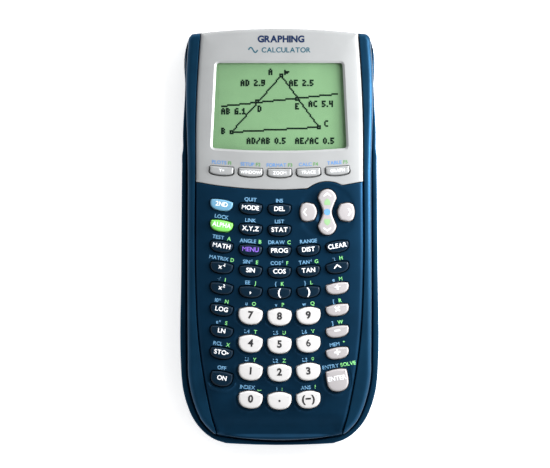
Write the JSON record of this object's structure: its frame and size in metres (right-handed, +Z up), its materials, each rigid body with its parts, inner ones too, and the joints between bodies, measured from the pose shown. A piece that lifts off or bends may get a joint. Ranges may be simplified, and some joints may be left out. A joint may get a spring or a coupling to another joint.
{
  "type": "graphing calculator",
  "caption": "Handheld graphing calculator with a dot-matrix display, sprung keys, an arrow pad and a battery compartment, lying on its back.",
  "frame": {"origin": "centre of the footprint, on the plane of the four rear feet", "axes": "+Z up out of the keys, +Y towards the display end, +X to the right when read"},
  "size_m": [0.09, 0.19, 0.022],
  "materials": {
    "silver_plastic": "satin, fine metallic silver",
    "navy_plastic": "semi-gloss, fine moulded grain",
    "clear_window": "clear hard-coated acrylic",
    "lcd_glass": "green-grey liquid crystal behind glass",
    "white_key": "satin",
    "grey_key": "satin",
    "dark_key": "semi-gloss",
    "blue_key": "semi-gloss",
    "green_key": "semi-gloss",
    "circuit_green": "solder mask",
    "silicone": "matte",
    "cell_jacket": "glossy printed jacket",
    "backup_cover": "matte"
  },
  "bodies": {
    "root": {"backup_cell_cover": "backup_cover", "battery_cells": "cell_jacket", "circuit_board": "circuit_green", "display_bezel": "silver_plastic", "display_window": "clear_window", "front_housing": "navy_plastic", "key_mat": "silicone", "keypad_faceplate": "navy_plastic", "lcd_module": "lcd_glass", "rear_housing": "navy_plastic"},
    "battery_door": {"battery_door": "navy_plastic"},
    "add_key": {"add_key": "grey_key"},
    "alpha_key": {"alpha_key": "green_key"},
    "applications_key": {"applications_key": "dark_key"},
    "arrow_key_left": {"arrow_key_left": "grey_key"},
    "arrow_key_right": {"arrow_key_right": "grey_key"},
    "arrow_rocker_up_down": {"arrow_rocker_up_down": "grey_key"},
    "clear_key": {"clear_key": "dark_key"},
    "close_bracket_key": {"close_bracket_key": "dark_key"},
    "comma_key": {"comma_key": "dark_key"},
    "cosine_key": {"cosine_key": "dark_key"},
    "delete_key": {"delete_key": "dark_key"},
    "distribution_key": {"distribution_key": "dark_key"},
    "divide_key": {"divide_key": "grey_key"},
    "enter_key": {"enter_key": "grey_key"},
    "function_key_1": {"function_key_1": "silver_plastic"},
    "function_key_2": {"function_key_2": "silver_plastic"},
    "function_key_3": {"function_key_3": "silver_plastic"},
    "function_key_4": {"function_key_4": "silver_plastic"},
    "function_key_5": {"function_key_5": "silver_plastic"},
    "inverse_key": {"inverse_key": "dark_key"},
    "logarithm_key": {"logarithm_key": "dark_key"},
    "math_key": {"math_key": "dark_key"},
    "mode_key": {"mode_key": "dark_key"},
    "multiply_key": {"multiply_key": "grey_key"},
    "natural_logarithm_key": {"natural_logarithm_key": "dark_key"},
    "negative_key": {"negative_key": "white_key"},
    "number_key_0": {"number_key_0": "white_key"},
    "number_key_1": {"number_key_1": "white_key"},
    "number_key_2": {"number_key_2": "white_key"},
    "number_key_3": {"number_key_3": "white_key"},
    "number_key_4": {"number_key_4": "white_key"},
    "number_key_5": {"number_key_5": "white_key"},
    "number_key_6": {"number_key_6": "white_key"},
    "number_key_7": {"number_key_7": "white_key"},
    "number_key_8": {"number_key_8": "white_key"},
    "number_key_9": {"number_key_9": "white_key"},
    "on_key": {"on_key": "dark_key"},
    "open_bracket_key": {"open_bracket_key": "dark_key"},
    "point_key": {"point_key": "white_key"},
    "power_key": {"power_key": "dark_key"},
    "program_key": {"program_key": "dark_key"},
    "shift_key": {"shift_key": "blue_key"},
    "sine_key": {"sine_key": "dark_key"},
    "square_key": {"square_key": "dark_key"},
    "statistics_key": {"statistics_key": "dark_key"},
    "store_key": {"store_key": "dark_key"},
    "subtract_key": {"subtract_key": "grey_key"},
    "tangent_key": {"tangent_key": "dark_key"},
    "variable_key": {"variable_key": "dark_key"}
  },
  "joints": [
    {"name": "open_battery_door", "type": "hinge", "parent": "root", "child": "battery_door", "pos_m": [0, 0.0394, 0.0008], "axis": [-1, 0, 0], "range_deg": [0, 75]},
    {"name": "tilt_arrow_rocker", "type": "hinge", "parent": "root", "child": "arrow_rocker_up_down", "pos_m": [0.0217, 0.01128, 0.01875], "axis": [1, 0, 0], "range_deg": [-3.5, 3.5], "stiffness_Nm_per_rad": 0.065},
    {"name": "press_add_key", "type": "slide", "parent": "root", "child": "add_key", "axis": [0, 0, -1], "range_m": [0, 0.001], "stiffness_N_per_m": 400, "springref_m": -0.0005},
    {"name": "press_alpha_key", "type": "slide", "parent": "root", "child": "alpha_key", "axis": [0, 0, -1], "range_m": [0, 0.001], "stiffness_N_per_m": 400, "springref_m": -0.0005},
    {"name": "press_applications_key", "type": "slide", "parent": "root", "child": "applications_key", "axis": [0, 0, -1], "range_m": [0, 0.001], "stiffness_N_per_m": 400, "springref_m": -0.0005},
    {"name": "press_arrow_key_left", "type": "slide", "parent": "root", "child": "arrow_key_left", "axis": [0, 0, -1], "range_m": [0, 0.001], "stiffness_N_per_m": 400, "springref_m": -0.0005},
    {"name": "press_arrow_key_right", "type": "slide", "parent": "root", "child": "arrow_key_right", "axis": [0, 0, -1], "range_m": [0, 0.001], "stiffness_N_per_m": 400, "springref_m": -0.0005},
    {"name": "press_clear_key", "type": "slide", "parent": "root", "child": "clear_key", "axis": [0, 0, -1], "range_m": [0, 0.001], "stiffness_N_per_m": 400, "springref_m": -0.0005},
    {"name": "press_close_bracket_key", "type": "slide", "parent": "root", "child": "close_bracket_key", "axis": [0, 0, -1], "range_m": [0, 0.001], "stiffness_N_per_m": 400, "springref_m": -0.0005},
    {"name": "press_comma_key", "type": "slide", "parent": "root", "child": "comma_key", "axis": [0, 0, -1], "range_m": [0, 0.001], "stiffness_N_per_m": 400, "springref_m": -0.0005},
    {"name": "press_cosine_key", "type": "slide", "parent": "root", "child": "cosine_key", "axis": [0, 0, -1], "range_m": [0, 0.001], "stiffness_N_per_m": 400, "springref_m": -0.0005},
    {"name": "press_delete_key", "type": "slide", "parent": "root", "child": "delete_key", "axis": [0, 0, -1], "range_m": [0, 0.001], "stiffness_N_per_m": 400, "springref_m": -0.0005},
    {"name": "press_distribution_key", "type": "slide", "parent": "root", "child": "distribution_key", "axis": [0, 0, -1], "range_m": [0, 0.001], "stiffness_N_per_m": 400, "springref_m": -0.0005},
    {"name": "press_divide_key", "type": "slide", "parent": "root", "child": "divide_key", "axis": [0, 0, -1], "range_m": [0, 0.001], "stiffness_N_per_m": 400, "springref_m": -0.0005},
    {"name": "press_enter_key", "type": "slide", "parent": "root", "child": "enter_key", "axis": [0, 0, -1], "range_m": [0, 0.001], "stiffness_N_per_m": 400, "springref_m": -0.0005},
    {"name": "press_function_key_1", "type": "slide", "parent": "root", "child": "function_key_1", "axis": [0, 0, -1], "range_m": [0, 0.001], "stiffness_N_per_m": 400, "springref_m": -0.0005},
    {"name": "press_function_key_2", "type": "slide", "parent": "root", "child": "function_key_2", "axis": [0, 0, -1], "range_m": [0, 0.001], "stiffness_N_per_m": 400, "springref_m": -0.0005},
    {"name": "press_function_key_3", "type": "slide", "parent": "root", "child": "function_key_3", "axis": [0, 0, -1], "range_m": [0, 0.001], "stiffness_N_per_m": 400, "springref_m": -0.0005},
    {"name": "press_function_key_4", "type": "slide", "parent": "root", "child": "function_key_4", "axis": [0, 0, -1], "range_m": [0, 0.001], "stiffness_N_per_m": 400, "springref_m": -0.0005},
    {"name": "press_function_key_5", "type": "slide", "parent": "root", "child": "function_key_5", "axis": [0, 0, -1], "range_m": [0, 0.001], "stiffness_N_per_m": 400, "springref_m": -0.0005},
    {"name": "press_inverse_key", "type": "slide", "parent": "root", "child": "inverse_key", "axis": [0, 0, -1], "range_m": [0, 0.001], "stiffness_N_per_m": 400, "springref_m": -0.0005},
    {"name": "press_logarithm_key", "type": "slide", "parent": "root", "child": "logarithm_key", "axis": [0, 0, -1], "range_m": [0, 0.001], "stiffness_N_per_m": 400, "springref_m": -0.0005},
    {"name": "press_math_key", "type": "slide", "parent": "root", "child": "math_key", "axis": [0, 0, -1], "range_m": [0, 0.001], "stiffness_N_per_m": 400, "springref_m": -0.0005},
    {"name": "press_mode_key", "type": "slide", "parent": "root", "child": "mode_key", "axis": [0, 0, -1], "range_m": [0, 0.001], "stiffness_N_per_m": 400, "springref_m": -0.0005},
    {"name": "press_multiply_key", "type": "slide", "parent": "root", "child": "multiply_key", "axis": [0, 0, -1], "range_m": [0, 0.001], "stiffness_N_per_m": 400, "springref_m": -0.0005},
    {"name": "press_natural_logarithm_key", "type": "slide", "parent": "root", "child": "natural_logarithm_key", "axis": [0, 0, -1], "range_m": [0, 0.001], "stiffness_N_per_m": 400, "springref_m": -0.0005},
    {"name": "press_negative_key", "type": "slide", "parent": "root", "child": "negative_key", "axis": [0, 0, -1], "range_m": [0, 0.001], "stiffness_N_per_m": 400, "springref_m": -0.0005},
    {"name": "press_number_key_0", "type": "slide", "parent": "root", "child": "number_key_0", "axis": [0, 0, -1], "range_m": [0, 0.001], "stiffness_N_per_m": 400, "springref_m": -0.0005},
    {"name": "press_number_key_1", "type": "slide", "parent": "root", "child": "number_key_1", "axis": [0, 0, -1], "range_m": [0, 0.001], "stiffness_N_per_m": 400, "springref_m": -0.0005},
    {"name": "press_number_key_2", "type": "slide", "parent": "root", "child": "number_key_2", "axis": [0, 0, -1], "range_m": [0, 0.001], "stiffness_N_per_m": 400, "springref_m": -0.0005},
    {"name": "press_number_key_3", "type": "slide", "parent": "root", "child": "number_key_3", "axis": [0, 0, -1], "range_m": [0, 0.001], "stiffness_N_per_m": 400, "springref_m": -0.0005},
    {"name": "press_number_key_4", "type": "slide", "parent": "root", "child": "number_key_4", "axis": [0, 0, -1], "range_m": [0, 0.001], "stiffness_N_per_m": 400, "springref_m": -0.0005},
    {"name": "press_number_key_5", "type": "slide", "parent": "root", "child": "number_key_5", "axis": [0, 0, -1], "range_m": [0, 0.001], "stiffness_N_per_m": 400, "springref_m": -0.0005},
    {"name": "press_number_key_6", "type": "slide", "parent": "root", "child": "number_key_6", "axis": [0, 0, -1], "range_m": [0, 0.001], "stiffness_N_per_m": 400, "springref_m": -0.0005},
    {"name": "press_number_key_7", "type": "slide", "parent": "root", "child": "number_key_7", "axis": [0, 0, -1], "range_m": [0, 0.001], "stiffness_N_per_m": 400, "springref_m": -0.0005},
    {"name": "press_number_key_8", "type": "slide", "parent": "root", "child": "number_key_8", "axis": [0, 0, -1], "range_m": [0, 0.001], "stiffness_N_per_m": 400, "springref_m": -0.0005},
    {"name": "press_number_key_9", "type": "slide", "parent": "root", "child": "number_key_9", "axis": [0, 0, -1], "range_m": [0, 0.001], "stiffness_N_per_m": 400, "springref_m": -0.0005},
    {"name": "press_on_key", "type": "slide", "parent": "root", "child": "on_key", "axis": [0, 0, -1], "range_m": [0, 0.001], "stiffness_N_per_m": 400, "springref_m": -0.0005},
    {"name": "press_open_bracket_key", "type": "slide", "parent": "root", "child": "open_bracket_key", "axis": [0, 0, -1], "range_m": [0, 0.001], "stiffness_N_per_m": 400, "springref_m": -0.0005},
    {"name": "press_point_key", "type": "slide", "parent": "root", "child": "point_key", "axis": [0, 0, -1], "range_m": [0, 0.001], "stiffness_N_per_m": 400, "springref_m": -0.0005},
    {"name": "press_power_key", "type": "slide", "parent": "root", "child": "power_key", "axis": [0, 0, -1], "range_m": [0, 0.001], "stiffness_N_per_m": 400, "springref_m": -0.0005},
    {"name": "press_program_key", "type": "slide", "parent": "root", "child": "program_key", "axis": [0, 0, -1], "range_m": [0, 0.001], "stiffness_N_per_m": 400, "springref_m": -0.0005},
    {"name": "press_shift_key", "type": "slide", "parent": "root", "child": "shift_key", "axis": [0, 0, -1], "range_m": [0, 0.001], "stiffness_N_per_m": 400, "springref_m": -0.0005},
    {"name": "press_sine_key", "type": "slide", "parent": "root", "child": "sine_key", "axis": [0, 0, -1], "range_m": [0, 0.001], "stiffness_N_per_m": 400, "springref_m": -0.0005},
    {"name": "press_square_key", "type": "slide", "parent": "root", "child": "square_key", "axis": [0, 0, -1], "range_m": [0, 0.001], "stiffness_N_per_m": 400, "springref_m": -0.0005},
    {"name": "press_statistics_key", "type": "slide", "parent": "root", "child": "statistics_key", "axis": [0, 0, -1], "range_m": [0, 0.001], "stiffness_N_per_m": 400, "springref_m": -0.0005},
    {"name": "press_store_key", "type": "slide", "parent": "root", "child": "store_key", "axis": [0, 0, -1], "range_m": [0, 0.001], "stiffness_N_per_m": 400, "springref_m": -0.0005},
    {"name": "press_subtract_key", "type": "slide", "parent": "root", "child": "subtract_key", "axis": [0, 0, -1], "range_m": [0, 0.001], "stiffness_N_per_m": 400, "springref_m": -0.0005},
    {"name": "press_tangent_key", "type": "slide", "parent": "root", "child": "tangent_key", "axis": [0, 0, -1], "range_m": [0, 0.001], "stiffness_N_per_m": 400, "springref_m": -0.0005},
    {"name": "press_variable_key", "type": "slide", "parent": "root", "child": "variable_key", "axis": [0, 0, -1], "range_m": [0, 0.001], "stiffness_N_per_m": 400, "springref_m": -0.0005}
  ]
}
